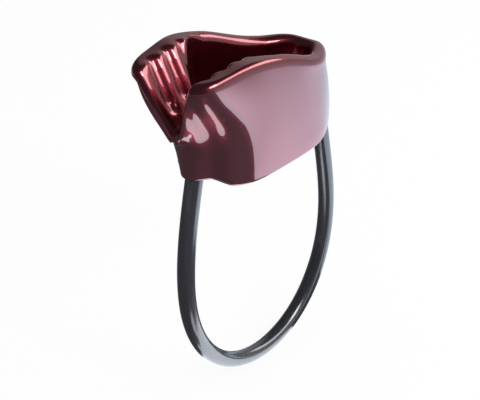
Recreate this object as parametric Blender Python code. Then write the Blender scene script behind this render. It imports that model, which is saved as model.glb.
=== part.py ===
"""Tube belay device: a forged body with one rope slot and a coated wire keeper loop.

Metres, +Z up. The origin is the inside of the loop's lowest point, where the carabiner bears.
The loop lies in the plane Y = 0, the brake end of the body points to -X.
"""

import math

import bmesh
import bpy
import numpy as np

# Loop cable
CABLE_DIAMETER = 0.0048
JACKET_WALL = 0.0005
STRAND_RADIUS = 0.00039
STRAND_CIRCLE = 0.00107
STRAND_LAY = 0.030
OUTER_STRANDS = 6

# Bores that take the loop's ends
UNDERSIDE_Z = 0.0653
NOSE_RISE = 0.0018
FRONT_BORE_X = -0.0242
BACK_BORE_X = 0.0272
BORE_DEPTH = 0.0080
FRONT_BORE_LEAN = 0.0
BACK_BORE_LEAN = -0.16
SEAT_GAP = 0.0003
HINGE_DROP = 0.0006
FERRULE_WALL = 0.0005
CUTTER_REACH = 0.0030
BORES = (("front", FRONT_BORE_X, FRONT_BORE_LEAN), ("back", BACK_BORE_X, BACK_BORE_LEAN))

# Body plan: the foot is the underside, the shoulder is where the front starts to flare
FOOT_HALF_WIDTH = 0.0138
SHOULDER_HALF_WIDTH = 0.0147
RIM_HALF_WIDTH = 0.0159
LOBE_FRONT_X = -0.0331
LIP_X = -0.0304
NOSE_WALL = 0.0006
NOSE_LEAN = 0.0007
TAIL_LEAN = 0.0045
FOOT_ROUNDING = 0.0010
SHOULDER_HEIGHT = 0.0119
FLARE_START = (-0.06, 0.34)
FLARE_END = (1.05, 0.70)

# Rope slot, drafted so that it is narrower at the underside
SLOT_FRONT_X = -0.0196
SLOT_BACK_X = 0.0202
SLOT_HALF_WIDTH = 0.0115
SLOT_DRAFT = 0.86
SLOT_EDGE_ROUNDING = 0.0009
SOFT_EDGE = (-0.0110, -0.0030)

# Rim and V groove, heights above the underside
RIM_ROUNDING = 0.0022
LIP_ROUNDING = 0.0022
ROLL_SPREAD = (0.0040, 0.0110)
CREST_HEIGHTS = (
    (-0.033, 0.0322), (-0.029, 0.0327), (-0.023, 0.0333), (-0.017, 0.0339), (-0.010, 0.0330), (-0.003, 0.0311),
    (0.004, 0.0283), (0.011, 0.0257), (0.017, 0.0246), (0.022, 0.0241), (0.026, 0.0214), (0.030, 0.0165),
)
VALLEY_HEIGHT = 0.0169
VALLEY_SLOPE = 2.05
VALLEY_RADIUS = 0.0008
VALLEY_END = (-0.012, 0.0)
CREST_BLEND = 0.0016

# Ribs on the V walls
GROOVE_COUNT = 3
GROOVE_PITCH = 0.00535
FIRST_GROOVE_X = -0.0268
GROOVE_DEPTH = 0.0028
GROOVE_WIDTH = 0.0034
GROOVE_FADE = (0.0015, 0.0050)
GROOVE_END = (-0.0070, -0.0030)

# Mesh fineness
FRONT_COLUMNS = 6
BACK_COLUMNS = 3
FRONT_SPANS = 8

# Route of the loop from the front bore to the back bore, between its two hinge points
LOOP_ROUTE = (
    (-0.0277, 0.0530), (-0.0300, 0.0388), (-0.0294, 0.0245), (-0.0241, 0.0112), (-0.0138, 0.0013),
    (0.0000, -0.0024),
    (0.0138, 0.0012), (0.0243, 0.0109), (0.0299, 0.0241), (0.0310, 0.0384), (0.0294, 0.0527),
)
SLEEVE_POINTS = 32
DOME_RINGS = 3


def foot_outline():
    """Half outline of the underside, from the front tip to the back tip: x and half width."""
    bore = CABLE_DIAMETER / 2 + SEAT_GAP
    nose = FRONT_BORE_X - bore - NOSE_WALL
    tail = BACK_BORE_X + bore + NOSE_WALL
    width = FOOT_HALF_WIDTH
    return (
        (nose - 0.0003, 0.0), (nose + 0.0005, 0.0023), (nose + 0.0026, 0.0040), (nose + 0.0043, 0.0052),
        (nose + 0.0053, 0.0070), (nose + 0.0065, 0.0090), (nose + 0.0084, 0.0111), (-0.0158, width - 0.0009),
        (-0.0115, width - 0.0002), (-0.0055, width), (0.0010, width), (0.0080, width),
        (0.0142, width - 0.0014), (0.0204, 0.0090), (tail - 0.0050, 0.0056), (tail - 0.0014, 0.0030),
        (tail + 0.0004, 0.0),
    )


def shoulder_outline():
    """The outline where the flare starts: as the foot, with a fuller nose and wider walls."""
    foot = foot_outline()
    nose = foot[0][0]
    width = SHOULDER_HALF_WIDTH
    return (
        (nose - NOSE_LEAN, 0.0), (nose - NOSE_LEAN + 0.0008, 0.0029), (nose + 0.0019, 0.0049),
        (nose + 0.0038, 0.0064), (nose + 0.0053, 0.0081), (nose + 0.0070, 0.0101), (nose + 0.0093, 0.0122),
        (-0.0148, width - 0.0008), (-0.0108, width - 0.0001), (-0.0055, width), (0.0010, width - 0.0001),
        (0.0080, width - 0.0004), (0.0143, width - 0.0022), *foot[13:],
    )


def rim_outline():
    """The outline where the rounding of the rim starts."""
    tail = foot_outline()[-1][0] - TAIL_LEAN
    width = RIM_HALF_WIDTH
    return (
        (LIP_X, 0.0), (LIP_X - 0.0005, 0.0026), (LIP_X - 0.0019, 0.0050), (LOBE_FRONT_X + 0.0001, 0.0075),
        (LOBE_FRONT_X, 0.0099), (LOBE_FRONT_X + 0.0020, 0.0128), (-0.0266, width - 0.0018),
        (-0.0205, width - 0.0011), (-0.0145, width), (-0.0080, width), (0.0, width - 0.0006),
        (0.0080, width - 0.0015), (0.0150, width - 0.0037), (0.0194, 0.0092), (tail - 0.0034, 0.0060),
        (tail - 0.0008, 0.0033), (tail, 0.0),
    )


def slot_outline():
    """Half outline of the rope slot, egg shaped with its blunt point at the V groove."""
    width = SLOT_HALF_WIDTH
    front = SLOT_FRONT_X
    back = SLOT_BACK_X
    return (
        (front - 0.0001, 0.0), (front + 0.0003, 0.0018), (front + 0.0010, 0.0034), (front + 0.0019, 0.0048),
        (front + 0.0028, 0.0062), (front + 0.0039, 0.0077), (front + 0.0052, 0.0092), (front + 0.0068, width - 0.0006),
        (-0.0106, width + 0.0003), (-0.0062, width), (0.0, width - 0.0010), (0.0065, width - 0.0022),
        (0.0125, width - 0.0034), (back - 0.0046, width - 0.0051), (back - 0.0012, 0.0041),
        (back + 0.0001, 0.0020), (back + 0.0004, 0.0),
    )


def closed_curve(half, parameters):
    """Points and inward normals of the closed cubic B-spline of a half outline and its mirror."""
    right = np.array(half)
    left = right[-2:0:-1] * (1, -1)
    control = np.concatenate([right, left])
    span = np.floor(parameters).astype(int)
    t = (parameters - span)[:, None]
    before, start, end, after = (control[(span + k) % len(control)] for k in (-1, 0, 1, 2))
    points = ((1 - t) ** 3 * before + (3 * t ** 3 - 6 * t ** 2 + 4) * start
              + (-3 * t ** 3 + 3 * t ** 2 + 3 * t + 1) * end + t ** 3 * after) / 6
    slopes = (-(1 - t) ** 2 * before + (3 * t ** 2 - 4 * t) * start
              + (-3 * t ** 2 + 2 * t + 1) * end + t ** 2 * after) / 2
    normals = np.stack([slopes[:, 1], -slopes[:, 0]], axis=1)
    return points, normals / np.linalg.norm(normals, axis=1)[:, None]


def column_parameters(front_columns, back_columns):
    """Where the columns lie round the outlines, closer together over the V groove."""
    spans = len(foot_outline()) - 1
    front = np.linspace(0, FRONT_SPANS, FRONT_SPANS * front_columns, endpoint=False)
    back = np.linspace(FRONT_SPANS, spans, (spans - FRONT_SPANS) * back_columns, endpoint=False)
    half = np.concatenate([front, back])
    return np.concatenate([half, [spans], 2 * spans - half[:0:-1]])


def smooth_interpolation(points, x):
    """Natural cubic spline through points, read at x."""
    knots, values = np.array(points).T
    gap = np.diff(knots)
    slope = np.diff(values) / gap
    system = np.eye(len(knots))
    right = np.zeros(len(knots))
    for i in range(1, len(knots) - 1):
        system[i, i - 1:i + 2] = gap[i - 1], 2 * (gap[i - 1] + gap[i]), gap[i]
        right[i] = 6 * (slope[i] - slope[i - 1])
    bend = np.linalg.solve(system, right)
    x = np.clip(x, knots[0], knots[-1])
    i = np.clip(np.searchsorted(knots, x) - 1, 0, len(gap) - 1)
    h, ahead, behind = gap[i], knots[i + 1] - x, x - knots[i]
    return ((bend[i] * ahead ** 3 + bend[i + 1] * behind ** 3) / (6 * h)
            + (values[i] / h - bend[i] * h / 6) * ahead + (values[i + 1] / h - bend[i + 1] * h / 6) * behind)


def smoothstep(low, high, x):
    t = np.clip((x - low) / (high - low), 0, 1)
    return t * t * (3 - 2 * t)


def top_height(x, y):
    """Height of the upper surface above the underside, before its edges are rounded."""
    y = np.abs(y)
    valley = VALLEY_HEIGHT + VALLEY_SLOPE * (np.sqrt(y ** 2 + VALLEY_RADIUS ** 2) - VALLEY_RADIUS)
    valley = valley + RIM_HALF_WIDTH * 2 * smoothstep(*VALLEY_END, x)
    crest = smooth_interpolation(CREST_HEIGHTS, x)
    fade = smoothstep(*GROOVE_FADE, y) * smoothstep(*GROOVE_END, crest - valley)
    for k in range(GROOVE_COUNT):
        offset = (x - FIRST_GROOVE_X - k * GROOVE_PITCH) / (GROOVE_WIDTH / 2)
        valley = valley - GROOVE_DEPTH * fade * np.exp(-offset ** 2)
    return (crest + valley - np.sqrt((crest - valley) ** 2 + CREST_BLEND ** 2)) / 2


def steepness(x, y):
    """Length of the upper surface's slope, which keeps a rounding's true radius on the V walls."""
    step = 1e-5
    along = (top_height(x + step, y) - top_height(x - step, y)) / (2 * step)
    across = (top_height(x, y + step) - top_height(x, y - step)) / (2 * step)
    return np.sqrt(1 + along ** 2 + across ** 2)


def foot_height(x):
    """How far the underside has risen towards the noses that hold the loop."""
    front = smoothstep(SLOT_FRONT_X, FRONT_BORE_X + 0.0010, x)
    back = smoothstep(SLOT_BACK_X + 0.0007, BACK_BORE_X - 0.0010, x)
    return NOSE_RISE * (front + back)


def flare(t):
    """How far the wall has gone from shoulder to rim: a quick start, straight, then upright."""
    steps = np.linspace(0, 1, 401)
    slope = smoothstep(*FLARE_START, steps) * smoothstep(*FLARE_END, steps)
    path = np.concatenate([[0], np.cumsum((slope[1:] + slope[:-1]) / 2)])
    return np.interp(t, steps, path / path[-1])


def body_rows(parameters, wall_rows, top_rows):
    """Rings of points from the underside's outer edge over the rim to the slot's lower edge."""
    foot, foot_in = closed_curve(foot_outline(), parameters)
    shoulder, _ = closed_curve(shoulder_outline(), parameters)
    rim, _ = closed_curve(rim_outline(), parameters)
    slot, slot_in = closed_curve(slot_outline(), parameters)
    mouth = slot * (1.0, SLOT_DRAFT)
    across = slot - rim
    width = np.linalg.norm(across, axis=1)
    across = across / width[:, None]
    roll = LIP_ROUNDING + (RIM_ROUNDING - LIP_ROUNDING) * smoothstep(*ROLL_SPREAD, np.abs(rim[:, 1]))
    outer = np.minimum(np.where(rim[:, 0] < 0, roll, RIM_ROUNDING), 0.54 * width)
    soft = smoothstep(*SOFT_EDGE, slot[:, 0])
    inner = np.minimum(SLOT_EDGE_ROUNDING + soft * RIM_ROUNDING, 0.98 * (width - outer))
    rows = []

    def ring(plan, height):
        rows.append(np.column_stack([plan, np.broadcast_to(UNDERSIDE_Z + height, len(plan))]))

    for angle in np.radians((0, 30, 60, 90)):
        plan = foot + foot_in * FOOT_ROUNDING * (1 - math.sin(angle))
        ring(plan, foot_height(plan[:, 0]) + FOOT_ROUNDING * (1 - math.cos(angle)))
    start = foot_height(foot[:, 0]) + FOOT_ROUNDING
    for share in (0.35, 0.7):
        ring(foot + (shoulder - foot) * share, start + share * (SHOULDER_HEIGHT - start))
    rim_start = top_height(*rim.T) - steepness(*rim.T) * outer
    for t in wall_rows:
        ring(shoulder + (rim - shoulder) * flare(t), SHOULDER_HEIGHT + t * (rim_start - SHOULDER_HEIGHT))
    for angle in np.radians((22, 45, 67, 90)):
        plan = rim + across * (outer * (1 - math.cos(angle)))[:, None]
        ring(plan, top_height(*plan.T) - steepness(*plan.T) * outer * (1 - math.sin(angle)))
    for t in top_rows:
        plan = rim + across * (outer + t * (width - outer - inner))[:, None]
        ring(plan, top_height(*plan.T))
    for angle in np.radians((90, 60, 30, 0)):
        plan = slot - across * (inner * (1 - math.cos(angle)))[:, None]
        ring(plan, top_height(*plan.T) - steepness(*plan.T) * inner * (1 - math.sin(angle)))
    for angle in np.radians((0, 45, 90)):
        plan = mouth - slot_in * FOOT_ROUNDING * (1 - math.cos(angle))
        ring(plan, foot_height(plan[:, 0]) + FOOT_ROUNDING * (1 - math.sin(angle)))
    return np.array(rows)


def body_mesh():
    """One closed skin: the rings joined into quads, the last ring joined back to the first."""
    parameters = column_parameters(FRONT_COLUMNS, BACK_COLUMNS)
    wall_rows = (0, 0.05, 0.12, 0.25, 0.42, 0.6, 0.76, 0.89, 1)
    top_rows = (0.14, 0.28, 0.43, 0.57, 0.71, 0.86)
    rows = body_rows(parameters, wall_rows, top_rows)
    shape = bmesh.new()
    rings = [[shape.verts.new(point) for point in row] for row in rows]
    count = len(parameters)
    for lower, upper in zip(rings, rings[1:] + rings[:1]):
        for i in range(count):
            j = (i + 1) % count
            shape.faces.new((lower[i], lower[j], upper[j], upper[i]))
    bmesh.ops.recalc_face_normals(shape, faces=shape.faces)
    mesh = bpy.data.meshes.new("body")
    shape.to_mesh(mesh)
    shape.free()
    return mesh


def material(name, colour, roughness, metallic):
    finish = bpy.data.materials.new(name)
    finish.use_nodes = True
    shader = finish.node_tree.nodes["Principled BSDF"]
    shader.inputs["Base Color"].default_value = (*colour, 1.0)
    shader.inputs["Roughness"].default_value = roughness
    shader.inputs["Metallic"].default_value = metallic
    return finish


def add_object(name, mesh, finish=None, parent=None, origin=(0, 0, 0)):
    """Link a mesh given in world coordinates, with its object's origin at the point given."""
    item = bpy.data.objects.new(name, mesh)
    bpy.context.collection.objects.link(item)
    if parent is not None:
        item.parent = parent
        origin = parent.location
    else:
        item.location = origin
    for vertex in mesh.vertices:
        vertex.co = [value - shift for value, shift in zip(vertex.co, origin)]
    if finish is not None:
        mesh.materials.append(finish)
    mesh.shade_smooth()
    mesh.set_sharp_from_angle(angle=math.radians(50))
    return item


def mouth_height():
    """Height of both bores' mouths, under the raised noses."""
    return UNDERSIDE_Z + NOSE_RISE


def bar_mesh(name, x, lean, bottom, top, radius, sides=24):
    """A round bar between two heights that passes (x, 0) at the bores' mouths and leans along X."""
    shape = bmesh.new()
    bmesh.ops.create_cone(shape, cap_ends=True, segments=sides, radius1=radius, radius2=radius, depth=top - bottom)
    bmesh.ops.translate(shape, verts=shape.verts, vec=(x, 0, (bottom + top) / 2))
    for vertex in shape.verts:
        vertex.co.x += lean * (vertex.co.z - mouth_height())
    mesh = bpy.data.meshes.new(name)
    shape.to_mesh(mesh)
    shape.free()
    return mesh


def cut(item, mesh):
    """Take a cutter's shape out of an object, leaving the cutter as a hidden guide."""
    cutter = add_object(f"{item.name}_cutter_{len(item.modifiers)}", mesh)
    cutter.hide_render = True
    cutter.display_type = "WIRE"
    modifier = item.modifiers.new("cut", "BOOLEAN")
    modifier.operation = "DIFFERENCE"
    modifier.solver = "EXACT"
    modifier.object = cutter


def hinge_height():
    """Height of the line through both exits about which the loop swings."""
    return mouth_height() - HINGE_DROP


def loop_curve(count):
    """Points along the loop's centreline with their inward normals, evenly spaced."""
    route = np.array([(FRONT_BORE_X, hinge_height()), *LOOP_ROUTE, (BACK_BORE_X, hinge_height())])
    chord = np.concatenate([[0], np.cumsum(np.linalg.norm(np.diff(route, axis=0), axis=1))])
    fine = np.linspace(0, chord[-1], 2001)
    path = np.column_stack([smooth_interpolation(np.column_stack([chord, route[:, k]]), fine) for k in (0, 1)])
    length = np.concatenate([[0], np.cumsum(np.linalg.norm(np.diff(path, axis=0), axis=1))])
    wanted = np.linspace(0, length[-1], count)
    points = np.column_stack([np.interp(wanted, length, path[:, k]) for k in (0, 1)])
    tangent = np.gradient(points, axis=0)
    tangent /= np.linalg.norm(tangent, axis=1)[:, None]
    inward = np.column_stack([-tangent[:, 1], tangent[:, 0]])
    return points, inward, tangent, length[-1]


def tube_mesh(name, points, radii, resolution):
    """Mesh of a bevelled curve through points, with a radius for each point."""
    curve = bpy.data.curves.new(name, "CURVE")
    curve.dimensions = "3D"
    curve.bevel_depth = 1.0
    curve.bevel_resolution = resolution
    curve.use_fill_caps = True
    spline = curve.splines.new("POLY")
    spline.points.add(len(points) - 1)
    for slot, point, radius in zip(spline.points, points, radii):
        slot.co = (*point, 1.0)
        slot.radius = radius
    guide = bpy.data.objects.new(name, curve)
    bpy.context.collection.objects.link(guide)
    mesh = bpy.data.meshes.new_from_object(guide.evaluated_get(bpy.context.evaluated_depsgraph_get()))
    bpy.data.objects.remove(guide)
    shape = bmesh.new()
    shape.from_mesh(mesh)
    bmesh.ops.remove_doubles(shape, verts=shape.verts, dist=1e-7)
    bmesh.ops.recalc_face_normals(shape, faces=shape.faces)
    shape.to_mesh(mesh)
    shape.free()
    mesh.name = name
    return mesh


def in_space(points):
    return np.column_stack([points[:, 0], np.zeros(len(points)), points[:, 1]])


def sleeve(parent, finish):
    """The loop's jacket: a tube with domed, open ends that turn in the mouths of the bores."""
    points, _, tangent, _ = loop_curve(SLEEVE_POINTS)
    radius = CABLE_DIAMETER / 2
    bore = radius - JACKET_WALL
    lift = np.linspace(0, 1, DOME_RINGS + 1)[1:] * math.acos((bore - 0.0001) / radius)
    start = [points[0] - tangent[0] * radius * math.sin(angle) for angle in lift[::-1]]
    end = [points[-1] + tangent[-1] * radius * math.sin(angle) for angle in lift]
    path = in_space(np.array([*start, *points, *end]))
    rounding = [radius * math.cos(angle) for angle in lift]
    radii = rounding[::-1] + [radius] * len(points) + rounding
    item = add_object("loop_sleeve", tube_mesh("loop_sleeve", path, radii, 3), finish, parent)
    beyond = [points[0] - tangent[0] * 2 * radius, *points, points[-1] + tangent[-1] * 2 * radius]
    cut(item, tube_mesh("loop_sleeve_bore", in_space(np.array(beyond)), [bore] * len(beyond), 3))


def strands(parent, finish):
    """The wire rope in the jacket: a straight core strand and the strands laid round it."""
    length = loop_curve(3)[3]
    points, _, _, _ = loop_curve(24)
    mesh = tube_mesh("wire_core_strand", in_space(points), [STRAND_RADIUS] * len(points), 1)
    add_object("wire_core_strand", mesh, finish, parent)
    count = math.ceil(8 * length / STRAND_LAY) + 1
    points, inward, _, _ = loop_curve(count)
    turn = np.linspace(0, 2 * math.pi * length / STRAND_LAY, count)
    for k in range(OUTER_STRANDS):
        phase = turn + 2 * math.pi * k / OUTER_STRANDS
        path = in_space(points + inward * STRAND_CIRCLE * np.cos(phase)[:, None])
        path[:, 1] = STRAND_CIRCLE * np.sin(phase)
        name = f"wire_strand_{k + 1}"
        add_object(name, tube_mesh(name, path, [STRAND_RADIUS] * count, 1), finish, parent)


def end_fittings(steel, wire):
    """The two swaged ferrules that hold the wire's ends in the bores."""
    radius = CABLE_DIAMETER / 2
    bottom = hinge_height() + radius + SEAT_GAP
    top = mouth_height() + BORE_DEPTH - SEAT_GAP
    bore = radius - FERRULE_WALL
    for side, x, lean in BORES:
        mesh = bar_mesh(f"{side}_ferrule", x, lean, bottom, top, radius)
        ferrule = add_object(f"{side}_ferrule", mesh, steel)
        cut(ferrule, bar_mesh(f"{side}_ferrule_bore", x, lean, bottom - CUTTER_REACH, top + CUTTER_REACH, bore))
        mesh = bar_mesh(f"{side}_wire_end", x, lean, bottom, top, bore - SEAT_GAP)
        add_object(f"{side}_wire_end", mesh, wire)


def main():
    for item in list(bpy.data.objects):
        bpy.data.objects.remove(item)
    anodised = material("anodised_red", (0.13, 0.008, 0.018), 0.16, 1.0)
    jacket = material("loop_jacket", (0.018, 0.021, 0.026), 0.32, 0.0)
    steel = material("ferrule_steel", (0.52, 0.52, 0.53), 0.35, 1.0)
    wire = material("wire_steel", (0.42, 0.43, 0.44), 0.40, 1.0)

    body = add_object("body", body_mesh(), anodised)
    bore_radius = CABLE_DIAMETER / 2 + SEAT_GAP
    low, high = mouth_height() - CUTTER_REACH, mouth_height() + BORE_DEPTH
    for side, x, lean in BORES:
        cut(body, bar_mesh(f"{side}_bore", x, lean, low, high, bore_radius))
    end_fittings(steel, wire)

    hinge = bpy.data.objects.new("loop_hinge", None)
    hinge.location = (0, 0, hinge_height())
    bpy.context.collection.objects.link(hinge)
    bpy.context.view_layer.update()
    sleeve(hinge, jacket)
    strands(hinge, wire)


main()
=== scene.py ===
"""Looks of the tube belay device: anodised body, coated wire loop, hidden fittings, studio stage."""

import math

import bmesh
import bpy
import numpy as np
from mathutils import Matrix, Vector


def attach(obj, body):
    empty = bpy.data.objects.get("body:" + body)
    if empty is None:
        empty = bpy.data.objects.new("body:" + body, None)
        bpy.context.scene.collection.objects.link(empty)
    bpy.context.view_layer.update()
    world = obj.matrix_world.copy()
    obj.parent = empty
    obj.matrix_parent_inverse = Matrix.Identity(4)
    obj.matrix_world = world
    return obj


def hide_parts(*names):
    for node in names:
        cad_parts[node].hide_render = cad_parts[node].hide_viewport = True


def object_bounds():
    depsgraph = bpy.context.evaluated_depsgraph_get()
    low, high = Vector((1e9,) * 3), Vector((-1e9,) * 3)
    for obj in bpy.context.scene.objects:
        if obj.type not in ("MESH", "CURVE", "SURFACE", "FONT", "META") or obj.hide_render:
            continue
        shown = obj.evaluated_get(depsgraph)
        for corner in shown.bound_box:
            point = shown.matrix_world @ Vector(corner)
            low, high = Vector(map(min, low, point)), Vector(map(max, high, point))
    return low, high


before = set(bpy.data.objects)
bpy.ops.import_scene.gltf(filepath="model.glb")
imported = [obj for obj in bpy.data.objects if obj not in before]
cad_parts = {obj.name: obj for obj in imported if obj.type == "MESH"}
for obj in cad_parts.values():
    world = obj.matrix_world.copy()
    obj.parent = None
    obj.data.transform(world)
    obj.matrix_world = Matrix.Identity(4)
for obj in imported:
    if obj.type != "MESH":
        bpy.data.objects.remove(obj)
CAD_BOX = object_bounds()

bl_info = {
    "name": "Tube belay device",
    "version": (1, 0, 0),
    "blender": (4, 5, 0),
    "location": "View3D > Sidebar > Belay",
    "description": "Builds the finished surfaces of a tube belay device round its frame",
    "category": "Object",
}

# Places and outlines that the frame was built from, in metres. Outlines are seen from above, one
# half each, and heights are measured from the underside.
UNDERSIDE_Z = 0.0653
NOSE_RISE = 0.0018
MOUTH_Z = UNDERSIDE_Z + NOSE_RISE
HINGE_DROP = 0.0006
HINGE_Z = MOUTH_Z - HINGE_DROP
FRONT_BORE_X = -0.0242
BACK_BORE_X = 0.0272
BORES = ((FRONT_BORE_X, 0.0), (BACK_BORE_X, -0.16))    # each bore's place along X and its lean
BORE_DEPTH = 0.0080
CUTTER_REACH = 0.0030                # a bore's cutter starts this far below its mouth
FRONT_SPANS = 8                      # the outlines' first spans, which go round the V groove
CREST_HEIGHTS = (                    # along X
    (-0.033, 0.0322), (-0.029, 0.0327), (-0.023, 0.0333), (-0.017, 0.0339), (-0.010, 0.0330),
    (-0.003, 0.0311), (0.004, 0.0283), (0.011, 0.0257), (0.017, 0.0246), (0.022, 0.0241),
    (0.026, 0.0214), (0.030, 0.0165),
)
FOOT_OUTLINE = (
    (-0.0278, 0.0), (-0.0270, 0.0023), (-0.0249, 0.0040), (-0.0232, 0.0052), (-0.0222, 0.0070),
    (-0.0210, 0.0090), (-0.0191, 0.0111), (-0.0158, 0.0129), (-0.0115, 0.0136), (-0.0055, 0.0138),
    (0.0010, 0.0138), (0.0080, 0.0138), (0.0142, 0.0124), (0.0204, 0.0090), (0.0255, 0.0056),
    (0.0291, 0.0030), (0.0309, 0.0),
)
SHOULDER_OUTLINE = (
    (-0.0285, 0.0), (-0.0277, 0.0029), (-0.0259, 0.0049), (-0.0240, 0.0064), (-0.0225, 0.0081),
    (-0.0208, 0.0101), (-0.0185, 0.0122), (-0.0148, 0.0139), (-0.0108, 0.0146), (-0.0055, 0.0147),
    (0.0010, 0.0146), (0.0080, 0.0143), (0.0143, 0.0125), (0.0204, 0.0090), (0.0255, 0.0056),
    (0.0291, 0.0030), (0.0309, 0.0),
)
RIM_OUTLINE = (
    (-0.0304, 0.0), (-0.0309, 0.0026), (-0.0323, 0.0050), (-0.0330, 0.0075), (-0.0331, 0.0099),
    (-0.0311, 0.0128), (-0.0266, 0.0141), (-0.0205, 0.0148), (-0.0145, 0.0159), (-0.0080, 0.0159),
    (0.0, 0.0153), (0.0080, 0.0144), (0.0150, 0.0122), (0.0194, 0.0092), (0.0230, 0.0060),
    (0.0256, 0.0033), (0.0264, 0.0),
)
SLOT_OUTLINE = (
    (-0.0197, 0.0), (-0.0193, 0.0018), (-0.0186, 0.0034), (-0.0177, 0.0048), (-0.0168, 0.0062),
    (-0.0157, 0.0077), (-0.0144, 0.0092), (-0.0128, 0.0109), (-0.0106, 0.0118), (-0.0062, 0.0115),
    (0.0, 0.0105), (0.0065, 0.0093), (0.0125, 0.0081), (0.0156, 0.0064), (0.0190, 0.0041),
    (0.0203, 0.0020), (0.0206, 0.0),
)
LOOP_ROUTE = (                       # X and Z
    (-0.0277, 0.0530), (-0.0300, 0.0388), (-0.0294, 0.0245), (-0.0241, 0.0112), (-0.0138, 0.0013),
    (0.0000, -0.0024),
    (0.0138, 0.0012), (0.0243, 0.0109), (0.0299, 0.0241), (0.0310, 0.0384), (0.0294, 0.0527),
)

# How the body's surface runs between those outlines. A pair of numbers is where a change starts
# and where it is complete.
VALLEY_RADIUS = 0.0008
VALLEY_END = (-0.012, 0.0)           # along X: the V groove's floor rises out of the slot's way
VALLEY_LIFT = 0.032
CREST_BLEND = 0.0016                 # rounds the line where a V wall meets the crest
GROOVE_COUNT = 3
FIRST_GROOVE_X = -0.0268
GROOVE_START = (0.0015, 0.0050)      # across: the V groove's floor stays smooth
GROOVE_TOP = (-0.0070, -0.0030)      # height of the crest over the V wall
NOSE_STARTS = (-0.0196, 0.0209)      # along X: the underside starts to rise to each nose
NOSE_FLAT = 0.0010                   # level underside between that rise and a bore's middle
FLARE_START = (-0.06, 0.34)          # share of the flared wall, up from the shoulder
FLARE_END = (1.05, 0.70)             # the same share, down from the rim
SLOT_DRAFT = 0.86                    # the slot's width at its foot, as a share of that at its top
LIP_END = (0.0040, 0.0110)           # across: the lip's rounding turns into the rim's
SOFT_EDGE = (-0.0110, -0.0030)       # along X: the slot's edge turns from crisp to round
OUTER_SHARE = 0.54                   # most that the outer rounding takes of the rim's width
INNER_SHARE = 0.98                   # most that the inner rounding takes of what is left

# How finely the surfaces are divided
FRONT_COLUMNS, BACK_COLUMNS = 20, 12     # for each span of an outline
EDGE_ROWS, WALL_ROWS, TOP_ROWS, SLOT_ROWS, FOOT_ROWS = 9, 34, 34, 14, 6
RELAX_ROUNDS, RELAX_STEP = 200, 0.8
RELAX_LEAD = 6                       # rows below the shoulder that are smoothed with the flare
BORE_SIDES = 64
CABLE_SIDES = 48
CABLE_RINGS = 401
DOME_RINGS = 9
DOME_OPENING = math.radians(84)      # from a dome's foot to the rim of its small flat end

# The stage. Sheets lie just under the loop, each a little lower than the one above it.
CARD_Z = CAD_BOX[0][2] - 0.0004
SHEET_GAP = 0.0001
FLOOR_CORNERS = ((-0.9, -0.9), (1.5, -0.9), (1.5, 1.5), (-0.9, 1.5))
FLAG_CORNERS = (
    (-0.8, -0.8), (0.010, -0.8), (0.010, -0.113), (0.013, -0.102), (0.013, -0.089),
    (0.018, -0.080), (0.045, -0.062), (0.045, 0.12), (-0.05, 0.9), (-0.8, 0.9),
)
# Glowing discs seen only in mirrors: painted highlights on the nose, the neck and the loop.
PAINTED_HIGHLIGHT_CARDS = (                            # name, radius, middle and strength
    ("nose_card", 0.0035, (-0.032, -0.005), 1.5),
    ("neck_card", 0.0110, (-0.035, -0.031), 1.3),
    ("loop_card", 0.0240, (-0.008, -0.010), 1.9),
)
LAMPS = (                            # name, degrees round from +X and up, distance, size, radiance
    ("strip_light", (-52, 30), 0.50, (0.80, 0.16), 2.5),
    ("key_light", (-96, 34), 0.60, (0.20, 0.17), 5.0),
)
LAMP_TARGET = Vector((0, 0, 0.09))


class BodySettings(bpy.types.PropertyGroup):
    """Sizes and colour of the forged body's surface."""

    colour: bpy.props.FloatVectorProperty(
        name="Dye", description="Colour of the anodised metal", subtype="COLOR",
        default=(0.42, 0.040, 0.065))
    rim_rounding: bpy.props.FloatProperty(
        name="Rim rounding", description="Radius of the rim", default=0.0022, unit="LENGTH")
    lip_rounding: bpy.props.FloatProperty(
        name="Lip rounding", description="Radius of the V groove's front edge",
        default=0.0022, unit="LENGTH")
    foot_rounding: bpy.props.FloatProperty(
        name="Foot rounding", description="Radius of the lower edges", default=0.0010, unit="LENGTH")
    slot_edge: bpy.props.FloatProperty(
        name="Slot edge", description="Radius between V walls and slot", default=0.0009, unit="LENGTH")
    shoulder: bpy.props.FloatProperty(
        name="Shoulder", description="Height at which the flare starts", default=0.0119, unit="LENGTH")
    valley: bpy.props.FloatProperty(
        name="Valley", description="Height of the V groove's floor", default=0.0169, unit="LENGTH")
    valley_slope: bpy.props.FloatProperty(
        name="V slope", description="Rise of the V walls for each unit across", default=2.05)
    groove_depth: bpy.props.FloatProperty(
        name="Groove depth", description="Drop of the grooves between the ribs",
        default=0.0028, unit="LENGTH")
    groove_width: bpy.props.FloatProperty(
        name="Groove width", description="Width of the grooves between the ribs",
        default=0.0034, unit="LENGTH")
    groove_pitch: bpy.props.FloatProperty(
        name="Groove pitch", description="Distance from groove to groove",
        default=0.00535, unit="LENGTH")
    bore_radius: bpy.props.FloatProperty(
        name="Bore radius", description="Radius of the loop's two bores", default=0.0027, unit="LENGTH")


class LoopSettings(bpy.types.PropertyGroup):
    """Size and colour of the coated wire loop."""

    colour: bpy.props.FloatVectorProperty(
        name="Jacket", description="Colour of the loop's jacket", subtype="COLOR",
        default=(0.011, 0.014, 0.019))
    diameter: bpy.props.FloatProperty(
        name="Diameter", description="Over the jacket", default=0.0048, unit="LENGTH")


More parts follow.
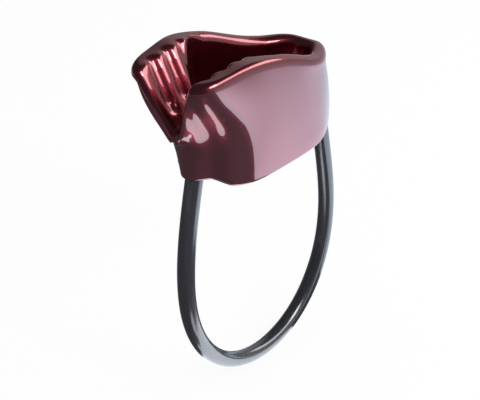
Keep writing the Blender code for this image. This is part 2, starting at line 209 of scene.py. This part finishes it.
class StageSettings(bpy.types.PropertyGroup):
    """Place, direction and lens of the camera."""

    azimuth: bpy.props.FloatProperty(
        name="Azimuth", description="Camera's direction", default=math.radians(-47.59), subtype="ANGLE")
    elevation: bpy.props.FloatProperty(
        name="Elevation", description="Camera's height", default=math.radians(30.31), subtype="ANGLE")
    roll: bpy.props.FloatProperty(
        name="Roll", description="Camera's tilt", default=math.radians(-2.81), subtype="ANGLE")
    place: bpy.props.FloatVectorProperty(
        name="Place", description="Camera's place", default=(-0.19783, -0.17398, 0.20285), unit="LENGTH")
    lens: bpy.props.FloatProperty(name="Lens", description="Focal length in millimetres", default=82.5)


class Link:
    """A socket that works in Python expressions: each operator adds a Math node."""

    def __init__(self, graph, socket):
        self.graph = graph
        self.socket = socket

    def maths(self, operation, first, second):
        return self.graph.node("Math", {"operation": operation}, {0: first, 1: second})

    def __add__(self, other):
        return self.maths("ADD", self, other)

    def __sub__(self, other):
        return self.maths("SUBTRACT", self, other)

    def __rsub__(self, other):
        return self.maths("SUBTRACT", other, self)

    def __mul__(self, other):
        return self.maths("MULTIPLY", self, other)

    __radd__ = __add__
    __rmul__ = __mul__


class Graph:
    """The nodes of one material or of the world."""

    def __init__(self, tree):
        self.tree = tree
        tree.nodes.clear()

    def node(self, kind, settings, sockets, output=0):
        """Add a node, set it up, then fill or link its sockets; gives one output."""
        node = self.tree.nodes.new("ShaderNode" + kind)
        for name, value in settings.items():
            setattr(node, name, value)
        for name, value in sockets.items():
            if isinstance(value, Link):
                self.tree.links.new(value.socket, node.inputs[name])
            else:
                node.inputs[name].default_value = value
        if len(node.outputs):
            return Link(self, node.outputs[output])
        return None

    def noise(self, scale, detail):
        place = self.node("TexCoord", {}, {}, "Object")
        return self.node("TexNoise", {}, {"Vector": place, "Scale": scale, "Detail": detail}, "Fac")

    def bump(self, strength, distance, height):
        return self.node(
            "Bump", {}, {"Strength": strength, "Distance": distance, "Height": height}, "Normal")

    def colour_mix(self, share, first, second):
        return self.node(
            "Mix", {"data_type": "RGBA"}, {"Factor": share, 6: (*first, 1.0), 7: (*second, 1.0)}, 2)

    def shader_mix(self, share, first, second):
        return self.node("MixShader", {}, {0: share, 1: first, 2: second})

    def along(self, place, way):
        """How far a place or direction lies along the way given."""
        return self.node("VectorMath", {"operation": "DOT_PRODUCT"}, {0: place, 1: way}, "Value")

    def fade(self, value, low, high, first, last):
        """A smooth change from first, where value is low, to last, where it is high."""
        return self.node("MapRange", {"interpolation_type": "SMOOTHSTEP"}, {
            "Value": value, "From Min": low, "From Max": high, "To Min": first, "To Max": last,
        })

    def light(self, kind, colour, strength):
        """An Emission or Background shader."""
        return self.node(kind, {}, {"Color": (*colour, 1.0), "Strength": strength})


def new_material(name):
    finish = bpy.data.materials.new(name)
    finish.use_nodes = True
    return finish, Graph(finish.node_tree)


def scaled_colour(colour, factor):
    return tuple(factor * value for value in colour)


def anodised_metal(colour):
    """Polished, dyed aluminium under its clear oxide skin; from the rim inwards the dye is darker and
    the clear coat weaker.
    """
    finish, graph = new_material("anodised_body")
    row = graph.node("SeparateXYZ", {}, {0: graph.node("UVMap", {"uv_map": "skin"}, {}, "UV")}, "Y")
    # From the rim's roll over the top and down the slot: darker dye and a weaker clear coat.
    coat_and_dye_share = graph.fade(row, 0.36, 0.44, 1.0, 0.55)
    wave = graph.noise(90.0, 1.0)
    grain = graph.noise(2600.0, 2.0)
    cloud = graph.noise(160.0, 3.0)
    dye = graph.colour_mix(coat_and_dye_share - cloud * 0.1, scaled_colour(colour, 0.68), colour)
    relief = graph.bump(0.04, 0.0003, wave * 0.9 + grain * 0.012)
    shader = graph.node("BsdfPrincipled", {}, {
        "Base Color": dye, "Metallic": 1.0, "Roughness": cloud * 0.06 + 0.24, "Normal": relief,
        "Coat Weight": coat_and_dye_share, "Coat IOR": 2.8, "Coat Roughness": 0.03,
    })
    graph.node("OutputMaterial", {}, {"Surface": shader})
    return finish


def jacket_polymer(colour):
    """Extruded clear-coated polymer: dark slate with drawn streaks that follow the cable."""
    finish, graph = new_material("loop_jacket")
    place = graph.node("UVMap", {"uv_map": "cable"}, {}, "UV")
    stretched = graph.node(
        "VectorMath", {"operation": "MULTIPLY"}, {0: place, 1: (26.0, 7.0, 1.0)}, "Vector")
    streak = graph.node("TexNoise", {}, {"Vector": stretched, "Scale": 1.0, "Detail": 3.0}, "Fac")
    cloud = graph.noise(300.0, 3.0)
    grain = graph.noise(1500.0, 2.0)
    tone = graph.colour_mix(streak, colour, scaled_colour(colour, 1.9))
    relief = graph.bump(0.22, 0.0002, streak * 0.5 + cloud * 0.5 + grain * 0.1)
    shader = graph.node("BsdfPrincipled", {}, {
        "Base Color": tone, "Roughness": cloud * 0.14 + 0.30, "Normal": relief, "IOR": 1.52,
        "Coat Weight": 1.0, "Coat IOR": 2.3, "Coat Roughness": 0.15,
    })
    graph.node("OutputMaterial", {}, {"Surface": shader})
    return finish


def plain_steel(name, colour, roughness):
    """Drawn or turned steel with a slight cloudiness."""
    finish, graph = new_material(name)
    cloud = graph.noise(700.0, 3.0)
    shader = graph.node("BsdfPrincipled", {}, {
        "Base Color": graph.colour_mix(cloud, scaled_colour(colour, 0.75), colour), "Metallic": 1.0,
        "Roughness": cloud * 0.15 + roughness, "Normal": graph.bump(0.1, 0.0001, cloud),
    })
    graph.node("OutputMaterial", {}, {"Surface": shader})
    return finish


def smoothstep(low, high, x):
    t = np.clip((x - low) / (high - low), 0, 1)
    return t * t * (3 - 2 * t)


def shares_between(count):
    """Even shares from 0 to 1 without the two ends."""
    return np.linspace(0, 1, count)[1:-1]


def smooth_interpolation(points, x):
    """Natural cubic spline through points, read at x."""
    knots, values = np.array(points).T
    gap = np.diff(knots)
    slope = np.diff(values) / gap
    system = np.eye(len(knots))
    right = np.zeros(len(knots))
    for i in range(1, len(knots) - 1):
        system[i, i - 1:i + 2] = gap[i - 1], 2 * (gap[i - 1] + gap[i]), gap[i]
        right[i] = 6 * (slope[i] - slope[i - 1])
    bend = np.linalg.solve(system, right)
    x = np.clip(x, knots[0], knots[-1])
    i = np.clip(np.searchsorted(knots, x) - 1, 0, len(gap) - 1)
    h, ahead, behind = gap[i], knots[i + 1] - x, x - knots[i]
    return ((bend[i] * ahead ** 3 + bend[i + 1] * behind ** 3) / (6 * h)
            + (values[i] / h - bend[i] * h / 6) * ahead
            + (values[i + 1] / h - bend[i + 1] * h / 6) * behind)


def closed_curve(half, parameters):
    """Points and inward normals of the closed cubic B-spline of a half outline and its mirror."""
    right = np.array(half)
    control = np.concatenate([right, right[-2:0:-1] * (1.0, -1.0)])
    span = np.floor(parameters).astype(int)
    t = (parameters - span)[:, None]
    before, start, end, after = (control[(span + k) % len(control)] for k in (-1, 0, 1, 2))
    points = ((1 - t) ** 3 * before + (3 * t ** 3 - 6 * t ** 2 + 4) * start
              + (-3 * t ** 3 + 3 * t ** 2 + 3 * t + 1) * end + t ** 3 * after) / 6
    slopes = (-(1 - t) ** 2 * before + (3 * t ** 2 - 4 * t) * start
              + (-3 * t ** 2 + 2 * t + 1) * end + t ** 2 * after) / 2
    normals = np.stack([slopes[:, 1], -slopes[:, 0]], axis=1)
    return points, normals / np.linalg.norm(normals, axis=1)[:, None]


class BodySkin:
    """The forged body's surface as rings of points: up the wall, over the rim and down the slot."""

    def __init__(self, settings):
        self.settings = settings
        spans = len(FOOT_OUTLINE) - 1
        front = np.linspace(0, FRONT_SPANS, FRONT_SPANS * FRONT_COLUMNS, endpoint=False)
        back = np.linspace(FRONT_SPANS, spans, (spans - FRONT_SPANS) * BACK_COLUMNS, endpoint=False)
        half = np.concatenate([front, back])
        self.columns = np.concatenate([half, [spans], 2 * spans - half[:0:-1]])
        self.rows = []

    def top_height(self, x, y):
        """Height of the upper surface above the underside, before its edges are rounded."""
        s = self.settings
        y = np.abs(y)
        valley = s.valley + s.valley_slope * (np.sqrt(y ** 2 + VALLEY_RADIUS ** 2) - VALLEY_RADIUS)
        valley = valley + VALLEY_LIFT * smoothstep(*VALLEY_END, x)
        crest = smooth_interpolation(CREST_HEIGHTS, x)
        fade = smoothstep(*GROOVE_START, y) * smoothstep(*GROOVE_TOP, crest - valley)
        for k in range(GROOVE_COUNT):
            offset = (x - FIRST_GROOVE_X - k * s.groove_pitch) / (s.groove_width / 2)
            valley = valley - s.groove_depth * fade * np.exp(-offset ** 2)
        return (crest + valley - np.sqrt((crest - valley) ** 2 + CREST_BLEND ** 2)) / 2

    def steepness(self, x, y):
        """Length of the upper surface's slope, which keeps a rounding's true radius on the V walls."""
        step = 1e-5
        along = (self.top_height(x + step, y) - self.top_height(x - step, y)) / (2 * step)
        across = (self.top_height(x, y + step) - self.top_height(x, y - step)) / (2 * step)
        return np.sqrt(1 + along ** 2 + across ** 2)

    def foot_height(self, x):
        """How far the underside has risen towards the noses that hold the loop."""
        front = smoothstep(NOSE_STARTS[0], FRONT_BORE_X + NOSE_FLAT, x)
        back = smoothstep(NOSE_STARTS[1], BACK_BORE_X - NOSE_FLAT, x)
        return NOSE_RISE * (front + back)

    def flare(self, t):
        """How far the wall has gone from shoulder to rim: a soft start, straight, then upright."""
        steps = np.linspace(0, 1, 401)
        slope = smoothstep(*FLARE_START, steps) * smoothstep(*FLARE_END, steps)
        path = np.concatenate([[0], np.cumsum((slope[1:] + slope[:-1]) / 2)])
        return np.interp(t, steps, path / path[-1])

    def ring(self, plan, height):
        self.rows.append(np.column_stack([plan, np.broadcast_to(UNDERSIDE_Z + height, len(plan))]))

    def edge(self, start, step, radius, angles):
        """Rings of a rounded edge of the upper surface."""
        for angle in angles:
            plan = start + step * (radius * (1 - math.cos(angle)))[:, None]
            drop = self.steepness(*plan.T) * radius * (1 - math.sin(angle))
            self.ring(plan, self.top_height(*plan.T) - drop)

    def build(self):
        """All rings, from the foot's outer edge back to it."""
        s = self.settings
        foot, foot_in = closed_curve(FOOT_OUTLINE, self.columns)
        shoulder, _ = closed_curve(SHOULDER_OUTLINE, self.columns)
        rim, _ = closed_curve(RIM_OUTLINE, self.columns)
        slot, slot_in = closed_curve(SLOT_OUTLINE, self.columns)
        slot_foot = slot * (1.0, SLOT_DRAFT)
        across = slot - rim
        width = np.linalg.norm(across, axis=1)
        across = across / width[:, None]
        rim_share = smoothstep(*LIP_END, np.abs(rim[:, 1]))
        front_rounding = s.lip_rounding + (s.rim_rounding - s.lip_rounding) * rim_share
        outer = np.where(rim[:, 0] < 0, front_rounding, s.rim_rounding)
        outer = np.minimum(outer, OUTER_SHARE * width)
        soft = smoothstep(*SOFT_EDGE, slot[:, 0])
        inner = np.minimum(s.slot_edge + soft * s.rim_rounding, INNER_SHARE * (width - outer))
        quarter = np.linspace(0, math.pi / 2, EDGE_ROWS)

        for angle in quarter:
            plan = foot + foot_in * s.foot_rounding * (1 - math.sin(angle))
            self.ring(plan, self.foot_height(plan[:, 0]) + s.foot_rounding * (1 - math.cos(angle)))
        start = self.foot_height(foot[:, 0]) + s.foot_rounding
        for share in shares_between(EDGE_ROWS):
            self.ring(foot + (shoulder - foot) * share, start + share * (s.shoulder - start))
        wall_start = len(self.rows)
        rim_start = self.top_height(*rim.T) - self.steepness(*rim.T) * outer
        for t in np.linspace(0, 1, WALL_ROWS):
            height = s.shoulder + t * (rim_start - s.shoulder)
            self.ring(shoulder + (rim - shoulder) * self.flare(t), height)
        self.edge(rim, across, outer, quarter[1:])
        for t in shares_between(TOP_ROWS):
            plan = rim + across * (outer + t * (width - outer - inner))[:, None]
            self.ring(plan, self.top_height(*plan.T))
        self.edge(slot, -across, inner, quarter[::-1])
        slot_top = self.rows[-1][:, 2] - UNDERSIDE_Z
        slot_end = self.foot_height(slot_foot[:, 0]) + s.foot_rounding
        for share in shares_between(SLOT_ROWS):
            plan = slot + (slot_foot - slot) * share
            self.ring(plan, slot_top * (1 - share) + slot_end * share)
        for angle in quarter:
            plan = slot_foot - slot_in * s.foot_rounding * (1 - math.cos(angle))
            self.ring(plan, self.foot_height(plan[:, 0]) + s.foot_rounding * (1 - math.sin(angle)))
        rows = np.array(self.rows)
        closing = [rows[-1] * (1 - share) + rows[0] * share for share in shares_between(FOOT_ROWS)]
        return self.relaxed(np.concatenate([rows, closing]), wall_start)

    def relaxed(self, rings, wall_start):
        """Smooth the flared wall, fading out towards its two ends, as a polished forging is."""
        share = np.zeros(len(rings))
        arch = np.sin(np.linspace(0, math.pi, WALL_ROWS + RELAX_LEAD)) ** 0.5
        share[wall_start - RELAX_LEAD:wall_start + WALL_ROWS] = arch
        for _ in range(RELAX_ROUNDS):
            around = (np.roll(rings, 1, axis=0) + np.roll(rings, -1, axis=0)
                      + np.roll(rings, 1, axis=1) + np.roll(rings, -1, axis=1)) / 4
            rings = rings + RELAX_STEP * share[:, None, None] * (around - rings)
        return rings


def skin_mesh(name, rings):
    """A closed skin of quads over rings of points; the last ring is joined to the first."""
    rows, columns, _ = rings.shape
    index = np.arange(rows * columns).reshape(rows, columns)
    right = np.roll(index, -1, axis=1)
    above = np.roll(index, -1, axis=0)
    faces = np.stack([index, right, np.roll(right, -1, axis=0), above], axis=-1).reshape(-1, 4)
    mesh = bpy.data.meshes.new(name)
    mesh.from_pydata(rings.reshape(-1, 3).tolist(), [], faces.tolist())
    row, column = np.divmod(np.arange(rows * columns), columns)
    corners = [(column + i, row + j) for i, j in ((0, 0), (1, 0), (1, 1), (0, 1))]
    places = np.moveaxis(np.array(corners, dtype=float), 2, 0) / (columns, rows)
    mesh.uv_layers.new(name="skin").data.foreach_set("uv", places.reshape(-1))
    shape = bmesh.new()
    shape.from_mesh(mesh)
    bmesh.ops.recalc_face_normals(shape, faces=shape.faces)
    shape.to_mesh(mesh)
    shape.free()
    return mesh


def add_piece(name, mesh, finish, body, replaced):
    piece = bpy.data.objects.new(name, mesh)
    bpy.context.collection.objects.link(piece)
    mesh.materials.append(finish)
    mesh.shade_smooth()
    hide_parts(replaced)
    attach(piece, body)
    return piece


def drill(piece, x, lean, radius):
    """Cut one blind bore from below; it passes (x, 0) at its mouth and leans along X."""
    middle = MOUTH_Z + (BORE_DEPTH - CUTTER_REACH) / 2
    bpy.ops.object.select_all(action="DESELECT")
    bpy.ops.mesh.primitive_cylinder_add(
        vertices=BORE_SIDES, radius=radius, depth=BORE_DEPTH + CUTTER_REACH, location=(x, 0, middle))
    cutter = bpy.context.object
    for vertex in cutter.data.vertices:
        vertex.co.x += lean * (vertex.co.z + cutter.location.z - MOUTH_Z)
    modifier = piece.modifiers.new("bore", "BOOLEAN")
    modifier.operation = "DIFFERENCE"
    modifier.solver = "EXACT"
    modifier.object = cutter
    bpy.context.view_layer.objects.active = piece
    bpy.ops.object.modifier_apply(modifier="bore")
    bpy.data.objects.remove(cutter)


class BELAY_OT_body(bpy.types.Operator):
    """Forged body: no primitive gives its double curves, so its rings are worked out in mesh code"""

    bl_idname = "belay.body"
    bl_label = "Body"

    def execute(self, context):
        settings = context.scene.belay_body
        mesh = skin_mesh("body_skin", BodySkin(settings).build())
        finish = anodised_metal(settings.colour)
        piece = add_piece("body_skin", mesh, finish, "body", "body")
        for x, lean in BORES:
            drill(piece, x, lean, settings.bore_radius)
        piece.data.set_sharp_from_angle(angle=math.radians(60))
        return {"FINISHED"}


def cable_path():
    """X and Z of points along the middle of the loop's cable, from hinge point to hinge point."""
    route = np.array([(FRONT_BORE_X, HINGE_Z), *LOOP_ROUTE, (BACK_BORE_X, HINGE_Z)])
    chord = np.concatenate([[0], np.cumsum(np.linalg.norm(np.diff(route, axis=0), axis=1))])
    fine = np.linspace(0, chord[-1], CABLE_RINGS)
    return np.column_stack(
        [smooth_interpolation(np.column_stack([chord, line]), fine) for line in route.T])


def cable_rings(path, radius):
    """Rings of points round the cable's path, closing to a dome past each end."""
    tangent = np.gradient(path, axis=0)
    tangent /= np.linalg.norm(tangent, axis=1)[:, None]
    dome = np.linspace(DOME_OPENING, 0, DOME_RINGS + 1)[:-1]
    start = [path[0] - tangent[0] * radius * math.sin(angle) for angle in dome]
    end = [path[-1] + tangent[-1] * radius * math.sin(angle) for angle in dome[::-1]]
    centres = np.array([*start, *path, *end])
    along = np.array([tangent[0]] * len(dome) + list(tangent) + [tangent[-1]] * len(dome))
    closing = radius * np.cos(dome)
    radii = np.array([*closing, *([radius] * len(path)), *closing[::-1]])
    inward = np.column_stack([-along[:, 1], np.zeros(len(along)), along[:, 0]])
    middles = np.column_stack([centres[:, 0], np.zeros(len(centres)), centres[:, 1]])
    turn = np.linspace(0, 2 * math.pi, CABLE_SIDES, endpoint=False)[None, :, None]
    around = inward[:, None] * np.cos(turn) + np.array((0, 1, 0)) * np.sin(turn)
    return middles[:, None] + radii[:, None, None] * around


def cable_mesh(name, rings):
    """A tube over rings of points with a flat face on each end, and a map along and round it."""
    count, sides = rings.shape[:2]
    faces = []
    for i in range(count - 1):
        for j in range(sides):
            k = (j + 1) % sides
            faces.append((i * sides + j, i * sides + k, (i + 1) * sides + k, (i + 1) * sides + j))
    faces.append(tuple(range(sides)))
    faces.append(tuple(range(count * sides - 1, (count - 1) * sides - 1, -1)))
    mesh = bpy.data.meshes.new(name)
    mesh.from_pydata(rings.reshape(-1, 3).tolist(), [], faces)
    shape = bmesh.new()
    shape.from_mesh(mesh)
    bmesh.ops.recalc_face_normals(shape, faces=shape.faces)
    cable = shape.loops.layers.uv.new("cable")
    for face in shape.faces:
        seam = max(loop.vert.index % sides for loop in face.loops) == sides - 1
        for loop in face.loops:
            ring, side = divmod(loop.vert.index, sides)
            if seam and side == 0 and len(face.loops) == 4:
                side = sides
            loop[cable].uv = (ring / count, side / sides)
    shape.to_mesh(mesh)
    shape.free()
    return mesh


class BELAY_OT_loop(bpy.types.Operator):
    """Coated wire loop: a smooth tube along the loop's route, with domed ends inside the bores"""

    bl_idname = "belay.loop"
    bl_label = "Loop"

    def execute(self, context):
        settings = context.scene.belay_loop
        path = cable_path()
        mesh = cable_mesh("loop_jacket", cable_rings(path, settings.diameter / 2))
        finish = jacket_polymer(settings.colour)
        piece = add_piece("loop_jacket", mesh, finish, "loop", "loop_sleeve")
        return {"FINISHED"}


class BELAY_OT_fittings(bpy.types.Operator):
    """Ferrules, wire ends and strands: their shapes are right, so they only get their steels"""

    bl_idname = "belay.fittings"
    bl_label = "Fittings"

    def execute(self, context):
        ferrule = plain_steel("ferrule_steel", (0.55, 0.55, 0.56), 0.28)
        wire = plain_steel("wire_steel", (0.45, 0.46, 0.47), 0.32)
        for name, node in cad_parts.items():
            if name.endswith("ferrule"):
                finish = ferrule
            elif name.startswith("wire") or name.endswith("wire_end"):
                finish = wire
            else:
                continue
            node.data.materials.clear()
            node.data.materials.append(finish)
        return {"FINISHED"}


class BELAY_OT_stage(bpy.types.Operator):
    """Pale floor, soft studio light and the camera"""

    bl_idname = "belay.stage"
    bl_label = "Stage"

    def add_camera(self, context, settings):
        camera = bpy.data.cameras.new("camera")
        camera.sensor_width = 36.0
        camera.lens = settings.lens
        holder = bpy.data.objects.new("camera", camera)
        a, e = settings.azimuth, settings.elevation
        back = Vector((math.sin(a) * math.cos(e), -math.cos(a) * math.cos(e), math.sin(e)))
        side = Vector((math.cos(a), math.sin(a), 0.0))
        level = Matrix((side, back.cross(side), back)).transposed()
        turned = level @ Matrix.Rotation(settings.roll, 3, "Z")
        holder.matrix_world = Matrix.Translation(settings.place) @ turned.to_4x4()
        context.collection.objects.link(holder)
        context.scene.camera = holder

    def add_sheet(self, name, corners, height, finish):
        """A flat, level sheet with the corners given."""
        mesh = bpy.data.meshes.new(name)
        mesh.from_pydata([(x, y, height) for x, y in corners], [], [tuple(range(len(corners)))])
        mesh.materials.append(finish)
        sheet = bpy.data.objects.new(name, mesh)
        bpy.context.collection.objects.link(sheet)
        return sheet

    def add_floor(self):
        """White paper; polished pieces mirror it as a painted reflection: dim, but bright in a painted
        pool of light behind the device.
        """
        finish, graph = new_material("floor")
        paper = graph.node("BsdfDiffuse", {}, {"Color": (0.80, 0.80, 0.80, 1.0)})
        white = graph.light("Emission", (1.0, 1.0, 1.0), 1.05)
        # Seen only in reflections: a painted reflection with a painted pool of light, weaker towards +X.
        dim = graph.light("Emission", (0.90, 0.97, 1.12), 0.42)
        bright = graph.light("Emission", (0.90, 1.02, 1.20), 1.15)
        place = graph.node("TexCoord", {}, {}, "Object")
        painted_light_pool = graph.fade(graph.along(place, (-0.28, 0.96, 0.0)), -0.20, -0.10, 0.0, 1.0)
        right = graph.fade(graph.along(place, (0.8, 0.3, 0.0)), 0.05, 0.24, 1.0, 0.25)
        painted_reflection = graph.shader_mix(painted_light_pool * right, dim, bright)
        camera = graph.node("LightPath", {}, {}, "Is Camera Ray")
        glossy = graph.node("LightPath", {}, {}, "Is Glossy Ray")
        passed = graph.node("LightPath", {}, {}, "Is Transmission Ray")
        seen = graph.shader_mix((camera + passed) * 0.85, paper, white)
        mixed = graph.shader_mix(glossy, seen, painted_reflection)
        graph.node("OutputMaterial", {}, {"Surface": mixed})
        self.add_sheet("floor", FLOOR_CORNERS, CARD_Z - 2 * SHEET_GAP, finish)

    def add_painted_dark_sheet(self):
        """A dark sheet over much of the floor, seen only in mirrors: a painted dark reflection for the
        body's wall, with painted light towards -Y.
        """
        finish, graph = new_material("flag")
        # Painted light and shade: one dim glow in a lit and a shaded copy, lit towards -Y.
        shaded = graph.light("Emission", (0.95, 0.85, 1.0), 0.09)
        lit = graph.light("Emission", (0.95, 0.85, 1.0), 0.13)
        place = graph.node("TexCoord", {}, {}, "Object")
        front = graph.node("SeparateXYZ", {}, {0: place}, "Y")
        painted_dark_reflection = graph.shader_mix(graph.fade(front, -0.10, -0.03, 1.0, 0.0), shaded, lit)
        graph.node("OutputMaterial", {}, {"Surface": painted_dark_reflection})
        return self.add_sheet("flag", FLAG_CORNERS, CARD_Z - SHEET_GAP, finish)

    def add_painted_highlight_card(self, name, radius, middle, strength):
        """A round glowing disc on the dark sheet under the device, seen only in mirrors: a painted
        highlight.
        """
        finish, graph = new_material(name)
        # The disc glows as a painted highlight, brighter than lit paper.
        paper = graph.light("Emission", (0.90, 0.96, 1.05), strength)
        graph.node("OutputMaterial", {}, {"Surface": paper})
        turns = [math.radians(angle) for angle in range(0, 360, 15)]
        corners = [
            (radius * math.cos(turn) + middle[0], radius * math.sin(turn) + middle[1]) for turn in turns]
        return self.add_sheet(name, corners, CARD_Z, finish)

    def hide_from_all_but_mirrors(self, sheet):
        sheet.visible_camera = False
        sheet.visible_diffuse = False
        sheet.visible_shadow = False
        sheet.visible_transmission = False

    def add_lamp(self, context, name, way, distance, size, radiance):
        """A rectangular lamp in the direction given as degrees round from +X and up, facing the body."""
        lamp = bpy.data.lights.new(name, "AREA")
        lamp.shape = "RECTANGLE"
        lamp.size, lamp.size_y = size
        lamp.energy = math.pi * size[0] * size[1] * radiance
        holder = bpy.data.objects.new(name, lamp)
        turn, rise = (math.radians(angle) for angle in way)
        out = Vector((math.cos(turn) * math.cos(rise), math.sin(turn) * math.cos(rise), math.sin(rise)))
        holder.location = LAMP_TARGET + out * distance
        holder.rotation_euler = out.to_track_quat("Z", "Y").to_euler()
        context.collection.objects.link(holder)

    def add_world(self, context):
        """White behind the object, even light for matt pieces and a dim room in polished ones."""
        world = bpy.data.worlds.new("studio")
        context.scene.world = world
        world.use_nodes = True
        graph = Graph(world.node_tree)
        way = graph.node("TexCoord", {}, {}, "Generated")
        side = graph.fade(graph.along(way, (0.68, -0.66, -0.30)), 0.2, 1.0, 0.04, 0.36)
        back = graph.fade(graph.along(way, (0.86, 0.36, 0.36)), 0.80, 1.0, 0.0, 0.36)
        room = graph.light("Background", (0.97, 0.98, 1.0), side + back)
        even = graph.light("Background", (1.0, 1.0, 1.0), 0.65)
        white = graph.light("Background", (1.0, 1.0, 1.0), 1.0)
        camera = graph.node("LightPath", {}, {}, "Is Camera Ray")
        glossy = graph.node("LightPath", {}, {}, "Is Glossy Ray")
        passed = graph.node("LightPath", {}, {}, "Is Transmission Ray")
        lit = graph.shader_mix(glossy, even, room)
        mixed = graph.shader_mix(camera + passed, lit, white)
        graph.node("OutputWorld", {}, {"Surface": mixed})

    def execute(self, context):
        context.scene.view_settings.view_transform = "Standard"
        self.add_camera(context, context.scene.belay_stage)
        self.add_floor()
        for sheet in (self.add_painted_dark_sheet(), *(self.add_painted_highlight_card(*card) for card in PAINTED_HIGHLIGHT_CARDS)):
            self.hide_from_all_but_mirrors(sheet)
        self.add_world(context)
        for lamp in LAMPS:
            self.add_lamp(context, *lamp)
        return {"FINISHED"}


class BELAY_PT_panel(bpy.types.Panel):
    """Builds the device's surfaces"""

    bl_label = "Tube belay device"
    bl_idname = "BELAY_PT_panel"
    bl_space_type = "VIEW_3D"
    bl_region_type = "UI"
    bl_category = "Belay"

    def draw(self, context):
        for operator in OPERATORS:
            self.layout.operator(operator.bl_idname)


SETTINGS = {"belay_body": BodySettings, "belay_loop": LoopSettings, "belay_stage": StageSettings}
OPERATORS = (BELAY_OT_stage, BELAY_OT_body, BELAY_OT_loop, BELAY_OT_fittings)


def register():
    for kind in (*SETTINGS.values(), *OPERATORS, BELAY_PT_panel):
        bpy.utils.register_class(kind)
    for name, kind in SETTINGS.items():
        setattr(bpy.types.Scene, name, bpy.props.PointerProperty(type=kind))


def unregister():
    for name in SETTINGS:
        delattr(bpy.types.Scene, name)
    for kind in (BELAY_PT_panel, *OPERATORS[::-1], *list(SETTINGS.values())[::-1]):
        bpy.utils.unregister_class(kind)


def main():
    register()
    bpy.ops.belay.stage()
    bpy.ops.belay.body()
    bpy.ops.belay.loop()
    bpy.ops.belay.fittings()


if __name__ == "__main__":
    main()
